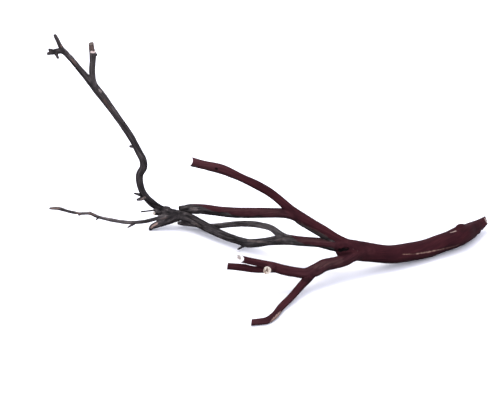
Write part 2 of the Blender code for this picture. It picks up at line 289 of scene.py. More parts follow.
# How each branch is weathered: the direction that its dead side faces; by world x (mm) how far a
# point must face that way to be grey, where over 1 is red all round and under -1 is grey all round;
# and by world x how much its surface is rubbed pale, from 0 to 1.
BRANCHES = [
    (TRUNK, (0, 0, -1), [(-120, 1.3), (-60, 0.93), (20, 0.95), (60, 1.2)], [(0, 0)]),
    (TRUNK_SHOULDER, (0, 0, -1), RED, [(0, 0)]),
    (
        UPPER_LIMB,
        DOWN_LEFT,
        [(-330, 0.93), (-300, 1.3), (-245, 1.05), (-235, 0.75), (-215, 0.5), (-165, 0.4), (-145, 0.75), (-130, 1.2)],
        [(-424, 0.75), (-385, 0.6), (-315, 0), (-130, 0)],
    ),
    (
        RED_BRANCH,
        DOWN_IN_VIEW,
        [
            (-442, -1.3),
            (-415, -1.1),
            (-402, -0.8),
            (-390, -0.45),
            (-369, 0.05),
            (-351, 0.22),
            (-333, 0.5),
            (-315, 0.8),
            (-290, 0.82),
            (-262, 0.75),
            (-245, 1.2),
        ],
        [(-442, 0.5), (-410, 0.4), (-395, 0.15), (-330, 0.3), (-280, 0.5), (-230, 0.35)],
    ),
    (
        MIDDLE_LIMB,
        DOWN_IN_VIEW,
        [(-243, -1.4), (-236, -0.6), (-228, 0), (-215, 0.3), (-170, 0.4), (-150, 0.6), (-135, 1.1)],
        [(-470, 0.25), (-300, 0.3), (-235, 0.4), (-180, 0.5), (-140, 0.1)],
    ),
    (TALL_STEM, DOWN_IN_VIEW, GREY, [(-622, 0.3), (-540, 0.4), (-505, 0.25), (-485, 0.05)]),
    (TOP_TWIG, DOWN_IN_VIEW, GREY, [(0, 0.5)]),
    (CROSS_TWIG, DOWN_IN_VIEW, GREY, [(0, 0.4)]),
    *[(prong, DOWN_IN_VIEW, GREY, [(0, 0.4)]) for prong in CROSS_TWIG_PRONGS],
    (SIDE_BRANCH, DOWN_IN_VIEW, GREY, [(0, 0.75)]),
    (GREY_ARC, DOWN_IN_VIEW, GREY, [(0, 1)]),
    (FLAP, DOWN_IN_VIEW, GREY, [(0, 0.1)]),
    (PALE_STUB, DOWN_IN_VIEW, GREY, [(0, 0.3)]),
    (LEFT_TWIG, DOWN_IN_VIEW, GREY, [(0, 1)]),
    (LOWER_LIMB, DOWN_IN_VIEW, RED, [(-329, 0.1), (-240, 0.3), (-200, 0.5), (-150, 0.35)]),
    (LOWER_TWIG, DOWN_IN_VIEW, RED, [(0, 0.15)]),
    (DISK_STUB, DOWN_IN_VIEW, RED, [(0, 0.2)]),
    (FRONT_TWIG, DOWN_IN_VIEW, RED, [(-305, 0.6), (-260, 0.15), (-210, 0.05)]),
    *[(snag, DOWN_IN_VIEW, GREY, [(0, 0.4)]) for snag in SNAGS],
]

# Marks on the surface: the points they run through (mm), how far they reach along and across the
# grain (mm), how deep they are (mm), and how pale, tan and dark they are. Some are painted light or
# painted shade, as their names and comments say.
MARKS = {
    # A real pit, painted black inside as painted shade.
    "knot_hole_painted_shade": ([(-365, 52.7, 139.1)], 2.4, 2.1, 1.8, 0, 0, 1),
    "top_nick": ([(40, 21.9, 32), (44.6, 23.4, 32.4), (50, 25.6, 33.2)], 1.6, 1.3, 0.5, 0.22, 0.6, 0),
    "crotch_nick": ([(-139.1, -74.9, 51.5), (-132.6, -74.7, 47.9)], 1.2, 0.7, 0.4, 0.12, 0.45, 0),
    # The crotch hollow and crease are real dents, painted near black inside as painted shade where the limbs meet.
    "crotch_hollow_painted_shade": ([(-161.5, -75.3, 48.8), (-154, -78.3, 52.5), (-148, -77.6, 52.4)], 3.2, 3.1, 2, 0, 0, 1),
    "crotch_line_painted_shade": ([(-173, -66, 45.5), (-161.5, -75.3, 47.5)], 3, 1, 0.8, 0, 0, 1),
    "seam_start": ([(-47.6, -42.7, 24.4), (-36.7, -38, 22.1), (-25.7, -32.7, 20.4)], 6, 1.05, 0.3, 0, 0.65, 0),
    "peeled_seam": (
        [(-25.7, -32.7, 20.4), (-12.6, -26, 18.7), (-1.4, -19.9, 17.6), (11.9, -12.7, 16.7), (23.3, -6.4, 15.9)],
        4,
        1.3,
        0.45,
        0.05,
        1,
        0,
    ),
    "seam_end": ([(23.3, -6.4, 15.9), (37.1, 2.3, 14.5), (50.9, 11.1, 13.8)], 5, 1, 0.4, 0, 0.8, 0),
    "elbow_peel": ([(-260.5, -196.2, 5.6), (-265.4, -206.3, 6), (-269.3, -211.8, 5.7), (-273.2, -216.8, 4.4), (-275.5, -218.9, 3.1)], 3, 2.3, 0.4, 0.12, 0.75, 0),
    "flap_end": ([(-486.2, 94, 6.6), (-481.5, 94.8, 10.6), (-476, 96.5, 13.2)], 2, 2, 0.4, 0.15, 0.75, 0),
    "snag_patch": ([(-503.5, 111.4, 54), (-498, 112.2, 57.5)], 3, 2, 0.2, 0.16, 0.22, 0),
    "side_ring": ([(-573.5, 97, 332.9), (-570.2, 97.7, 332.7), (-567.4, 101.3, 332.5)], 1.4, 1.9, 0.3, 1, 0, 0),
    "side_brown": ([(-572, 100, 342)], 7, 9, 0, 0, 0.4, 0),
    "fork_patch": ([(-623.2, 98.8, 342.7)], 3, 1.6, 0.2, 0, 0.6, 0),
    "stem_spot": ([(-563.6, 101.6, 262.9)], 3.4, 2.2, 0.3, 0.22, 0, 0),
    "stem_patch": ([(-557, 102, 246), (-550, 103, 232)], 5, 1.6, 0.2, 0, 0.35, 0),
    "upper_stem_patch": ([(-603.4, 97.8, 315.3)], 8, 1.8, 0.2, 0, 0.35, 0),
    "limb_streaks": ([(-410, 85, 19.3), (-404.4, 80.8, 19.8), (-398.8, 76.3, 19)], 5, 1.7, 0.3, 0.13, 0.05, 0),
    "limb_patch": ([(-307.5, 11.8, 21.3), (-281.9, -6.1, 28.6)], 9, 2, 0.2, 0.05, 0.1, 0),
    "fork_streak": ([(-256.8, -20.7, 40), (-243.6, -25.8, 46.5)], 6, 2, 0.2, 0, 0.12, 0),
    "butt_tip": ([(115, 88.3, 26.1), (116, 85.5, 24), (117, 84.2, 21.6)], 2, 1.3, 0.2, 0.4, 0.2, 0),
    "disk_star": ([(-280.6, -145.6, 55.4), (-280.2, -148.4, 50.4)], 1, 1.1, 0, 0, 0.5, 0.55),
    "disk_fleck": ([(-283.6, -147.6, 50.6), (-281.4, -147.2, 52.6)], 1, 1, 0, 0, 0.5, 0.7),
    "disk_spot": ([(-277.2, -146.9, 54)], 0.9, 0.8, 0, 0, 0, 0.7),
    "disk_rim": ([(-285.5, -146.3, 54), (-285.2, -147.5, 50.1), (-282.4, -149.5, 47.4)], 1.2, 1.3, 0, 0, 0.8, 0),
    "twig_heart": ([(-325.4, -124.6, 64), (-324, -126, 62.8)], 3, 3, 0, 0, 0.75, 0.06),
    # Painted highlight along the top of the lower twig.
    "lower_twig_painted_highlight": ([(-338, -123.5, 51.2), (-322, -121.8, 49.4)], 10, 2.6, 0, 0.006, 0.06, 0),
    "flap_brown": ([(-467.1, 102.8, 20), (-459, 101, 22)], 3, 1.8, 0.2, 0, 0.14, 0),
    "red_branch_shade": ([(-386, 78, 45), (-374.7, 67.9, 46.3), (-356.6, 53.3, 50.5), (-330, 32.3, 58)], 6, 2.6, 0, 0, 0, 0.6),
    "notched_shade": ([(-316.1, 21.1, 64.4), (-309, 15, 66.5)], 3, 2, 0, 0, 0, 0.6),
    "branch_shade": ([(-295.6, 5.5, 73.3), (-288, -1, 75.5)], 4, 1.6, 0, 0, 0, 0.5),
    "stem_crack": ([(-509.5, 112.8, 102.8), (-502.1, 110.1, 101.1)], 0.9, 0.9, 0.7, 0, 0, 0.85),
    # Real dents where the twigs meet the stem, darkened inside as painted shade.
    "joint_hollow_painted_shade": ([(-476, 104.7, 28.2), (-470, 107.5, 26.5)], 2.4, 1.8, 0.8, 0, 0, 0.7),
    "joint_crease_painted_shade": ([(-467.3, 108.2, 28), (-454.5, 106.6, 25.5), (-446, 104, 24.5)], 5, 1, 0.7, 0, 0, 0.7),
    "joint_light": ([(-458, 101.5, 21), (-449, 101, 20)], 4, 1.4, 0.2, 0.06, 0.08, 0),
    "stump_light": ([(-414.2, 105.7, 39.7), (-405, 97, 42)], 6, 2.6, 0.2, 0.07, 0, 0),
    "twig_dark_one": ([(-640, 69.6, 54.2), (-630, 71.5, 50.1), (-621.6, 72.8, 47.1)], 3, 1.3, 0, 0, 0, 0.75),
    "twig_dark_two": ([(-592, 75.7, 42.5), (-580.4, 77.8, 35), (-558.3, 82, 26.5), (-532.5, 88.2, 18.6)], 4, 1.1, 0.1, 0, 0, 0.7),
    "twig_tip": ([(-656, 68.6, 56.6), (-646.7, 68.6, 56.6)], 3, 1.3, 0, 0, 0.65, 0),
    "twig_node": ([(-614.7, 73.6, 45.2), (-609.7, 74.3, 43.3)], 2, 1.5, 0, 0, 0.5, 0),
    "twig_elbow": ([(-592.1, 75.6, 43), (-585.4, 76.4, 39.6)], 2.4, 1.5, 0, 0.05, 0.5, 0),
    "back_seam": ([(-42.3, -8.4, 20), (-7.7, 12.5, 18), (14, 25, 18), (32.5, 37, 18)], 5, 0.9, 0.5, 0, 0.8, 0),
    # A real hollow on the back of the trunk, darkened inside as painted shade.
    "back_hollow_painted_shade": ([(52, 53, 22), (58, 58, 21)], 4, 2.6, 1.6, 0, 0, 0.9),
    "back_limb_check": ([(-270, 22, 119), (-292, 30, 124), (-318, 46, 131)], 6, 0.7, 0.6, 0, 0, 0.7),
    "back_branch_peel": ([(-345, 62, 60), (-325, 48.5, 64)], 6, 2, 0.4, 0.05, 0.5, 0),
    "back_stem_patch": ([(-534, 117, 206), (-526, 117.5, 190)], 8, 1.8, 0.2, 0.1, 0.1, 0),
    "arc_stub_dark": ([(-431.4, 106, 7.8), (-427.7, 105.6, 9.5), (-418, 99, 9.5)], 4, 3.4, 0, 0, 0, 0.5),
    # Painted light and shade: a painted sheen along the front of the upper limb, painted light on the upper sides of
    # the middle limb, lower limb and red branch, and painted shade just below it on the middle limb.
    "upper_painted_sheen": ([(-219.9, -42.3, 79.1), (-206.9, -48.3, 74.7), (-193.9, -53.4, 69.9)], 16, 3.6, 0, 0.02, 0.06, 0),
    "middle_painted_light": ([(-224, -38.6, 48.4), (-201.5, -49.9, 54.2), (-179.1, -59.7, 58.3)], 14, 3.2, 0, 0.008, 0.05, 0),
    "middle_shade": ([(-223.9, -40.4, 40.8), (-201.5, -53.6, 46.8), (-184, -61, 50.5)], 12, 2.6, 0, 0, 0, 0.35),
    "lower_painted_light": ([(-197.8, -104.6, 36.2), (-181.2, -97.9, 37.1), (-164.3, -89.8, 36.4)], 14, 5, 0, 0.006, 0.05, 0),
    "red_painted_light": ([(-345.9, 46.9, 62.9), (-307.5, 17.1, 77.2), (-270.6, -10.9, 88.7)], 20, 3, 0, 0.003, 0.03, 0),
    "butt_shade": ([(65.3, 32.2, 34.2), (81, 40, 29), (99.3, 64.8, 26)], 14, 9, 0, 0, 0, 0.22),
    "fork_root_shade": ([(-213.1, -125, 22.9), (-218, -127.5, 22.9), (-222.7, -126, 23.2)], 5, 4, 0, 0, 0, 0.5),
}

# Small knots where twigs have died: branch, distance along it (mm), turn round it (degrees), width (mm).
KNOTS = [
    (TRUNK, 62, 200, 4),
    (TRUNK, 128, 75, 5),
    (TRUNK, 205, 240, 3.5),
    (TRUNK, 262, 120, 4.5),
    (UPPER_LIMB, 96, 150, 3),
    (UPPER_LIMB, 190, 40, 2.6),
    (UPPER_LIMB, 268, 250, 2.6),
    (RED_BRANCH, 88, 130, 3),
    (RED_BRANCH, 170, 220, 3.2),
    (MIDDLE_LIMB, 84, 70, 2.8),
    (MIDDLE_LIMB, 205, 140, 2.6),
    (MIDDLE_LIMB, 300, 60, 3),
    (TALL_STEM, 60, 60, 2.4),
    (TALL_STEM, 175, 300, 2.2),
    (TALL_STEM, 290, 90, 2.2),
    (LOWER_LIMB, 70, 60, 3.2),
    (LOWER_LIMB, 150, 200, 2.6),
    (FRONT_TWIG, 60, 100, 2.2),
]

# What each cut face is like: its material, its roughness and how hollow it is (mm).
CUT_FACES = {
    "butt_end": ("broken_wood", 0.9, 0),
    "butt_underside": ("broken_wood", 0.8, 0),
    "butt_notch": ("broken_wood", 0.6, 0),
    "butt_chip": ("broken_wood", 0.6, 0),
    "upper_end": ("rubbed_end_grain", 0.25, 2.2),
    "red_end": ("broken_wood", 0.5, 0),
    "upper_twig_end": ("rubbed_end_grain", 0.07, 0),
    "lower_twig_end": ("old_end_grain", 0.1, 0),
    "disk_end": ("fresh_end_grain", 0.06, 0),
    "front_twig_end": ("old_end_grain", 0.1, 0),
    "side_branch_end": ("grey_end_grain", 0.08, 0),
    "pale_stub_end": ("fresh_end_grain", 0.15, 0),
}
CUTTER_CELL = 0.7 * MM


def smooth_run(points):
    """The centres and radii of a branch's rings, in metres: a smooth curve through its points."""
    knots = np.array(points, float) * MM
    chords = np.linalg.norm(np.diff(knots[:, :3], axis=0), axis=1)
    along = np.concatenate([[0], np.cumsum(chords)])
    slopes = np.gradient(knots, along, axis=0)
    count = max(3, round(along[-1] / RING_SPACING) + 1)
    stations = np.linspace(0, along[-1], count)
    span = np.clip(np.searchsorted(along, stations, side="right") - 1, 0, len(chords) - 1)
    length = chords[span][:, None]
    t = (stations - along[span])[:, None] / length
    start = knots[span] * (1 + 2 * t) * (1 - t) ** 2 + slopes[span] * length * t * (1 - t) ** 2
    end = knots[span + 1] * t**2 * (3 - 2 * t) + slopes[span + 1] * length * t**2 * (t - 1)
    run = start + end
    return run[:, :3], run[:, 3], stations


def carried_frames(centres):
    """For each ring its direction and two directions across it, carried along without twisting."""
    directions = np.gradient(centres, axis=0)
    directions /= np.linalg.norm(directions, axis=1)[:, None]
    up = np.array([0.0, 0.0, 1.0])
    if abs(directions[0] @ up) > STEEP:
        up = np.array([0.0, 1.0, 0.0])
    across = []
    for direction in directions:
        up = up - direction * (up @ direction)
        up = up / np.linalg.norm(up)
        across.append(up)
    across = np.array(across)
    return directions, across, np.cross(directions, across)


def ribbed_radius(radius, station, angle, phase):
    """The radius at an angle about the branch, with its ribs and swellings."""
    scale = 1 + SWELLING * np.sin(station / SWELLING_LENGTH + SWELLING_SHIFT * phase)
    for ribs, height, turn in RIBS:
        scale = scale + height * np.cos(ribs * angle + station / turn + phase * ribs)
    return radius * scale


class Branch:
    """One branch's rings, and where points lie about it."""

    def __init__(self, points, dead_side, limits, rubbed, phase):
        self.centres, self.radii, self.stations = smooth_run(points)
        self.directions, self.across, self.other = carried_frames(self.centres)
        self.dead_side = np.array(dead_side) / np.linalg.norm(dead_side)
        self.limits = np.array(limits, float)
        self.rubbed = np.array(rubbed, float)
        self.phase = phase

    def skin(self):
        """The vertices and faces of a closed tube with rounded ends."""
        lift = 0.5 * math.pi * np.arange(1, CAP_RINGS + 1) / (CAP_RINGS + 1)
        rings = [
            (self.centres, self.across, self.other, self.radii, self.stations),
        ]
        for end, way in ((0, -1), (-1, 1)):
            out = way * CAP_LENGTH * self.radii[end] * np.sin(lift)[:, None] * self.directions[end]
            cap = (
                self.centres[end] + out,
                np.repeat(self.across[end][None], CAP_RINGS, 0),
                np.repeat(self.other[end][None], CAP_RINGS, 0),
                self.radii[end] * np.cos(lift),
                np.full(CAP_RINGS, self.stations[end]),
            )
            if way < 0:
                rings.insert(0, tuple(part[::-1] for part in cap))
            else:
                rings.append(cap)
        centres, across, other, radii, stations = (np.concatenate(part) for part in zip(*rings))
        angle = 2 * math.pi * np.arange(SIDES) / SIDES
        reach = ribbed_radius(radii[:, None], stations[:, None], angle, self.phase)
        places = centres[:, None] + reach[..., None] * (
            np.cos(angle)[:, None] * across[:, None] + np.sin(angle)[:, None] * other[:, None]
        )
        tips = [
            self.centres[end] + way * CAP_LENGTH * self.radii[end] * self.directions[end]
            for end, way in ((0, -1), (-1, 1))
        ]
        count = len(centres)
        number = np.arange(count * SIDES).reshape(count, SIDES)
        after = np.roll(number, -1, axis=1)
        quads = np.stack([number[:-1], after[:-1], after[1:], number[1:]], axis=-1).reshape(-1, 4)
        first, last = count * SIDES, count * SIDES + 1
        fans = [(after[0, side], number[0, side], first) for side in range(SIDES)]
        fans += [(number[-1, side], after[-1, side], last) for side in range(SIDES)]
        return np.concatenate([places.reshape(-1, 3), tips]), quads.tolist() + fans

    def about(self, places):
        """How far along and across the branch each point lies, and how far outside its skin."""
        square = (self.centres**2).sum(1)
        ring = np.empty(len(places), int)
        for start in range(0, len(places), 20000):
            part = places[start : start + 20000]
            ring[start : start + 20000] = np.argmin(square - 2 * part @ self.centres.T, axis=1)
        offset = places - self.centres[ring]
        along = (offset * self.directions[ring]).sum(1)
        u = (offset * self.across[ring]).sum(1)
        v = (offset * self.other[ring]).sum(1)
        radial = np.hypot(u, v)
        station = self.stations[ring] + along
        radius = self.radii[ring]
        reach = ribbed_radius(radius, station, np.arctan2(v, u), self.phase)
        at_end = (ring == 0) | (ring == len(self.centres) - 1)
        gap = np.where(at_end, np.linalg.norm(offset, axis=1), radial) - reach
        outward = (u[:, None] * self.across[ring] + v[:, None] * self.other[ring]) / (radial[:, None] + 1e-9)
        return station, u, v, radius, gap, outward


def noise(x, y, z, seed):
    """Smooth noise from -1 to 1, the same on each run."""
    corner = [np.floor(a).astype(np.int64) for a in (x, y, z)]
    inside = [a - c for a, c in zip((x, y, z), corner)]
    ease = [t * t * t * (t * (t * 6 - 15) + 10) for t in inside]
    total = np.zeros(len(x))
    for step in range(8):
        pick = (step & 1, step >> 1 & 1, step >> 2 & 1)
        key = np.full(len(x), seed * 374761393, np.int64)
        weight = np.ones(len(x))
        for axis, prime in enumerate((73856093, 19349663, 83492791)):
            key ^= (corner[axis] + pick[axis]) * prime
            weight *= ease[axis] if pick[axis] else 1 - ease[axis]
        key = (key ^ (key >> 13)) * 1274126177
        key ^= key >> 16
        total += weight * ((key & 0xFFFF) / 32767.5 - 1)
    return total


def smoothstep(low, high, x):
    t = np.clip((x - low) / (high - low), 0, 1)
    return t * t * (3 - 2 * t)


def grained(station, u, v, long, wide, seed):
    """Noise drawn out along the grain."""
    return noise(station / long + seed * 0.37, u / wide, v / wide, seed)


def branch_fields(branch, number, places):
    """The carving's height, how grey, rubbed and cracked the wood is, its grain, and the gap to the skin."""
    station, u, v, radius, gap, outward = branch.about(places)
    spiral = station / 0.09
    turned_u = u * np.cos(spiral) - v * np.sin(spiral)
    turned_v = u * np.sin(spiral) + v * np.cos(spiral)
    seed = 11 * number
    edge = 0.22 * grained(station, u, v, 0.022, 0.005, seed + 1) + 0.1 * grained(station, u, v, 0.006, 0.002, seed + 2)
    limit = np.interp(places[:, 0] / MM, branch.limits[:, 0], branch.limits[:, 1])
    grey = smoothstep(-0.06, 0.06, outward @ branch.dead_side - limit + edge)
    rubbed = np.interp(places[:, 0] / MM, branch.rubbed[:, 0], branch.rubbed[:, 1])
    slender = np.clip(radius / 0.007, 0.25, 1.6)
    thin = smoothstep(0.0065, 0.003, radius)
    grooves = (1 - np.abs(grained(station, turned_u, turned_v, 0.045, 0.0042, seed + 3))) ** 5
    creases = (1 - np.abs(grained(station, turned_u, turned_v, 0.02, 0.0019, seed + 4))) ** 4
    swell = grained(station, u, v, 0.03, 0.008, seed + 5)
    waves = grained(station, turned_u, turned_v, 0.06, 0.0055, seed + 6)
    crack = (1 - np.abs(grained(station, turned_u, turned_v, 0.09, 0.007, seed + 7))) ** 7
    crack *= smoothstep(-0.05, 0.25, grained(station, u, v, 0.05, 0.02, seed + 8)) * grey
    dead = -0.6 * grooves - 0.2 * creases + 0.28 * swell + 0.62
    live = 0.2 * waves + 0.25 * swell - 0.05 * creases + 0.4
    lumps = noise(station / 0.0075, 0 * u, 0 * v, seed + 9) * smoothstep(0.0032, 0.0024, radius)
    height = MM * (slender * (dead * grey + live * (1 - grey) - 0.9 * crack) + 0.28 + 0.2 * thin + 0.3 * lumps)
    return np.stack([height, grey, rubbed, crack], axis=1), np.stack([station, turned_u, turned_v], axis=1), gap


def wood_fields(branches, places):
    """The fields of the branches that pass each point, blended where they meet, and the grain."""
    found = []
    nearest = np.full(len(places), np.inf)
    for number, branch in enumerate(branches):
        margin = branch.radii.max() * 1.15 + 0.006
        low = branch.centres.min(0) - margin
        high = branch.centres.max(0) + margin
        near = np.flatnonzero(((places > low) & (places < high)).all(1))
        fields, grain, gap = branch_fields(branch, number, places[near])
        found.append((near, fields, grain, gap))
        nearest[near] = np.minimum(nearest[near], gap)
    total = np.zeros((len(places), 1))
    blended = np.zeros((len(places), 4))
    grains = np.zeros((len(places), 3))
    second = np.full(len(places), np.inf)
    for number, (near, fields, grain, gap) in enumerate(found):
        weight = np.exp(-(gap - nearest[near]) / (1.1 * MM))[:, None]
        blended[near] += weight * fields
        total[near] += weight
        owned = gap <= nearest[near]
        grains[near[owned]] = grain[owned] + np.array([0.71 * number, 0, 0])
        rest = near[~owned]
        second[rest] = np.minimum(second[rest], (gap - nearest[near])[~owned])
    clear = smoothstep(0, 3 * MM, second)
    height, grey, rubbed, crack = (blended / total).T
    return height, {"grey": grey, "rubbed": rubbed, "clear": clear}, crack, grains


def mark_weight(places, points, along, across, branches, seed):
    """How much of a mark each point has: 1 in its middle, 0 outside its ragged edge."""
    track = np.array(points, float) * MM
    closest = np.full(len(places), np.inf)
    for branch in branches:
        away = np.linalg.norm(branch.centres - track[0], axis=1) - branch.radii
        if away.min() < closest[0]:
            closest[0] = away.min()
            grain = branch.directions[np.argmin(away)]
    near = np.flatnonzero(np.linalg.norm(places - track.mean(0), axis=1) < np.ptp(track, axis=0).max() + 0.03)
    here = places[near]
    best = np.full(len(near), np.inf)
    segments = list(zip(track[:-1], track[1:])) or [(track[0], track[0])]
    for start, end in segments:
        if len(track) > 1:
            step = end - start
            t = np.clip((here - start) @ step / (step @ step), 0, 1)
            rest = here - start - t[:, None] * step
            grain = step / np.linalg.norm(step)
        else:
            rest = here - start
        lengthways = rest @ grain
        sideways = np.sqrt(np.maximum((rest**2).sum(1) - lengthways**2, 0))
        best = np.minimum(best, np.hypot(lengthways / (along * MM), sideways / (across * MM)))
    x, y, z = here.T / (min(max(across, 1.2), 3) * MM)
    ragged = 0.4 * noise(x, y, z, seed) + 0.25 * noise(2.3 * x, 2.3 * y, 2.3 * z, seed + 1)
    return near, 1 - smoothstep(0.7, 1.1, best + ragged)


def marks(branches, places):
    """The depth of the marks at each point, and how pale, tan and dark they make it."""
    values = np.zeros((len(places), 4))
    for seed, (points, along, across, *amounts) in enumerate(MARKS.values()):
        near, weight = mark_weight(places, points, along, across, branches, 500 + seed)
        shares = weight[:, None] * np.array(amounts)
        shares[:, 0] *= MM
        values[near] = np.maximum(values[near], shares)
    return values


def knots(branches, places):
    """Raised collars with a small pit, and how dark each point of them is."""
    height = np.zeros(len(places))
    dark = np.zeros(len(places))
    by_points = {id(entry[0]): branch for entry, branch in zip(BRANCHES, branches)}
    for points, distance, turn, width in KNOTS:
        branch = by_points[id(points)]
        ring = np.argmin(np.abs(branch.stations - distance * MM))
        angle = math.radians(turn)
        way = math.cos(angle) * branch.across[ring] + math.sin(angle) * branch.other[ring]
        reach = ribbed_radius(branch.radii[ring], branch.stations[ring], angle, branch.phase)
        rest = places - branch.centres[ring] - reach * way
        lengthways = rest @ branch.directions[ring]
        away = np.sqrt((rest**2).sum(1) - 0.35 * lengthways**2) / (width * MM)
        height += width * MM * (0.11 * np.exp(-((away - 0.75) / 0.33) ** 2) - 0.22 * np.exp(-((away / 0.3) ** 2)))
        dark = np.maximum(dark, 0.9 * np.exp(-((away / 0.33) ** 2)))
    return height, dark


def points_of(mesh):
    flat = np.empty(len(mesh.vertices) * 3)
    mesh.vertices.foreach_get("co", flat)
    return flat.reshape(-1, 3)


def set_points(mesh, places):
    mesh.vertices.foreach_set("co", places.astype(np.float32).ravel())
    mesh.update()


def normals_of(mesh):
    flat = np.empty(len(mesh.vertices) * 3)
    mesh.vertices.foreach_get("normal", flat)
    return flat.reshape(-1, 3)


def relax(places, edges, share):
    """Moves each point towards the middle of its neighbours."""
    one, two = edges.T
    count = np.bincount(edges.ravel(), minlength=len(places))[:, None]
    total = np.stack(
        [
            np.bincount(one, places[two, axis], len(places)) + np.bincount(two, places[one, axis], len(places))
            for axis in range(3)
        ],
        axis=1,
    )
    return places + share * (total / count - places)


def evaluated_copy(obj, name):
    """The object's mesh with its modifiers applied."""
    graph = bpy.context.evaluated_depsgraph_get()
    mesh = bpy.data.meshes.new_from_object(obj.evaluated_get(graph), depsgraph=graph)
    mesh.name = name
    return mesh


def apply_modifiers(obj):
    obj.data = evaluated_copy(obj, obj.name)
    obj.modifiers.clear()


def grown_wood(branches):
    """All branches fused into one skin of even small faces, carved along the grain."""
    vertices, faces = [], []
    total = 0
    for branch in branches:
        places, polygons = branch.skin()
        vertices.append(places)
        faces += [[corner + total for corner in polygon] for polygon in polygons]
        total += len(places)
    mesh = bpy.data.meshes.new("weathered_branch")
    mesh.from_pydata(np.concatenate(vertices), [], faces)
    wood = bpy.data.objects.new("weathered_branch", mesh)
    bpy.context.collection.objects.link(wood)
    fuse = wood.modifiers.new("fuse", "REMESH")
    fuse.mode = "VOXEL"
    fuse.voxel_size = VOXEL
    apply_modifiers(wood)
    mesh = wood.data
    edges = np.empty(len(mesh.edges) * 2, np.int32)
    mesh.edges.foreach_get("vertices", edges)
    edges = edges.reshape(-1, 2)
    places = points_of(mesh)
    near_fork = np.zeros((len(places), 1))
    for x, y, z, reach in FORKS:
        near_fork[np.linalg.norm(places - np.array([x, y, z]) * MM, axis=1) < reach * MM] = 1
    for _ in range(CROTCH_SMOOTHINGS):
        places = relax(places, edges, CROTCH_SHARE * near_fork)
    for share in (0.5, -0.52, 0.5, -0.52):
        places = relax(places, edges, share)
    set_points(mesh, places)
    normals = normals_of(mesh)
    height = wood_fields(branches, places)[0]
    knot_height, _ = knots(branches, places)
    depth = marks(branches, places)[:, 0]
    set_points(mesh, places + (height + knot_height - depth)[:, None] * normals)
    return wood


def cutter(name, point, facing, width, height):
    """A closed box that cuts with a rough face; its local Z points out of the wood."""
    material, roughness, hollow = CUT_FACES[name]
    columns, rows = (max(4, round(side * MM / CUTTER_CELL)) for side in (width, height))
    x, y = np.meshgrid(
        np.linspace(-width / 2, width / 2, columns + 1), np.linspace(-height / 2, height / 2, rows + 1), indexing="ij"
    )
    x, y = x.ravel(), y.ravel()
    flat = np.zeros(len(x))
    seed = len(name) * 7
    rough = roughness * (0.6 * noise(x / 3.1, y / 1.7, flat, seed) + 0.4 * noise(x / 1.1, y / 0.9, flat, seed + 1))
    bowl = hollow * np.exp(-((x**2 + y**2) / 22))
    inner = np.stack([x, y, rough - bowl], axis=1)
    outer = np.stack([x, y, flat + width], axis=1)
    size = len(x)
    index = np.arange(size).reshape(columns + 1, rows + 1)
    cell = np.stack([index[:-1, :-1], index[:-1, 1:], index[1:, 1:], index[1:, :-1]], axis=-1).reshape(-1, 4)
    rim = np.concatenate([index[:, 0], index[-1, 1:], index[-2::-1, -1], index[0, -2:0:-1]])
    walls = [(a, b, b + size, a + size) for a, b in zip(rim, np.roll(rim, -1))]
    faces = cell.tolist() + (cell[:, ::-1] + size).tolist() + [[int(v) for v in wall] for wall in walls]
    mesh = bpy.data.meshes.new(name)
    mesh.from_pydata(np.concatenate([inner, outer]) * MM, [], faces)
    mesh.materials.append(bpy.data.materials[material])
    box = bpy.data.objects.new(name, mesh)
    bpy.context.collection.objects.link(box)
    box.rotation_euler = Vector(facing).to_track_quat("Z", "Y").to_euler()
    box.location = Vector(point) * MM
    return box


def cut(wood, box):
    """Takes the box out of the wood. The new faces keep the box's material."""
    away = wood.modifiers.new(box.name, "BOOLEAN")
    away.operation = "DIFFERENCE"
    away.solver = "MANIFOLD"
    away.material_mode = "TRANSFER"
    away.object = box


def ground():
    """A slab under z = 0, which leaves the flat spots that the wood rests on."""
    mesh = bpy.data.meshes.new("ground")
    corners = [(x, y, z) for x in (-0.9, 0.35) for y in (-0.5, 0.5) for z in (-0.02, 0)]
    faces = [(0, 1, 3, 2), (4, 6, 7, 5), (0, 4, 5, 1), (2, 3, 7, 6), (0, 2, 6, 4), (1, 5, 7, 3)]
    mesh.from_pydata(corners, [], faces)
    mesh.materials.append(bpy.data.materials["bark_and_dead_wood"])
    slab = bpy.data.objects.new("ground", mesh)
    bpy.context.collection.objects.link(slab)
    return slab


def finished_mesh(wood, branches):
    """Cuts the ends and feet, thins the mesh and gives each vertex what the materials read."""
    boxes = [cutter(name, *sizes) for name, sizes in CUTS.items()] + [ground()]
    for box in boxes:
        cut(wood, box)
    apply_modifiers(wood)
    for box in boxes:
        bpy.data.objects.remove(box)
    wood.data.calc_loop_triangles()
    triangles = len(wood.data.loop_triangles)
    bark = [v for face in wood.data.polygons if face.material_index == 0 for v in face.vertices]
    cut_face = [v for face in wood.data.polygons if face.material_index > 0 for v in face.vertices]
    thinned = wood.vertex_groups.new(name="thinned")
    thinned.add(sorted(set(bark)), 1, "REPLACE")
    thinned.add(sorted(set(cut_face)), 0, "REPLACE")
    thin = wood.modifiers.new("thin", "DECIMATE")
    thin.ratio = min(1, MOST_TRIANGLES / triangles)
    thin.vertex_group = thinned.name
    apply_modifiers(wood)
    mesh = wood.data
    places = points_of(mesh)
    _, numbers, crack, grain = wood_fields(branches, places)
    knot_dark = knots(branches, places)[1]
    _, pale, tan, dark = marks(branches, places).T
    numbers |= {"pale": pale, "tan": tan, "dark": np.maximum.reduce([dark, knot_dark, 0.8 * crack])}
    for name, values in numbers.items():
        mesh.attributes.new(name, "FLOAT", "POINT").data.foreach_set("value", values.astype(np.float32))
    vectors = mesh.attributes.new("grain", "FLOAT_VECTOR", "POINT")
    vectors.data.foreach_set("vector", grain.astype(np.float32).ravel())
    mesh.shade_smooth()
    mesh.set_sharp_from_angle(angle=math.radians(48))


